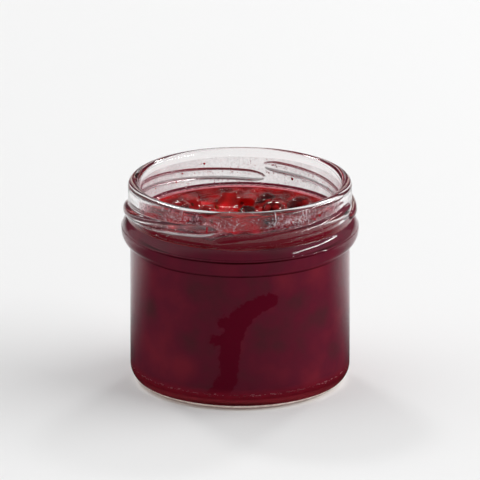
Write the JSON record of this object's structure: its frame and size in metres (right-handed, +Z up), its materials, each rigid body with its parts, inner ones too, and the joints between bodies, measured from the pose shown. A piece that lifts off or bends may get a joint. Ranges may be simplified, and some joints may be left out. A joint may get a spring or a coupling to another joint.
{
  "type": "jam jar",
  "caption": "Low, wide clear-glass jam jar with a lugged twist-off neck, open and filled with dark red fruit jam.",
  "frame": {"origin": "centre of the jar's base, on the plane it stands on", "axes": "+Z up along the jar's axis; -Y towards the viewer; +X to the viewer's right"},
  "size_m": [0.0666, 0.0666, 0.0583],
  "materials": {
    "glass": "polished",
    "jam": "wet gloss"
  },
  "bodies": {
    "root": {"jar": "glass", "jam": "jam"}
  },
  "joints": []
}
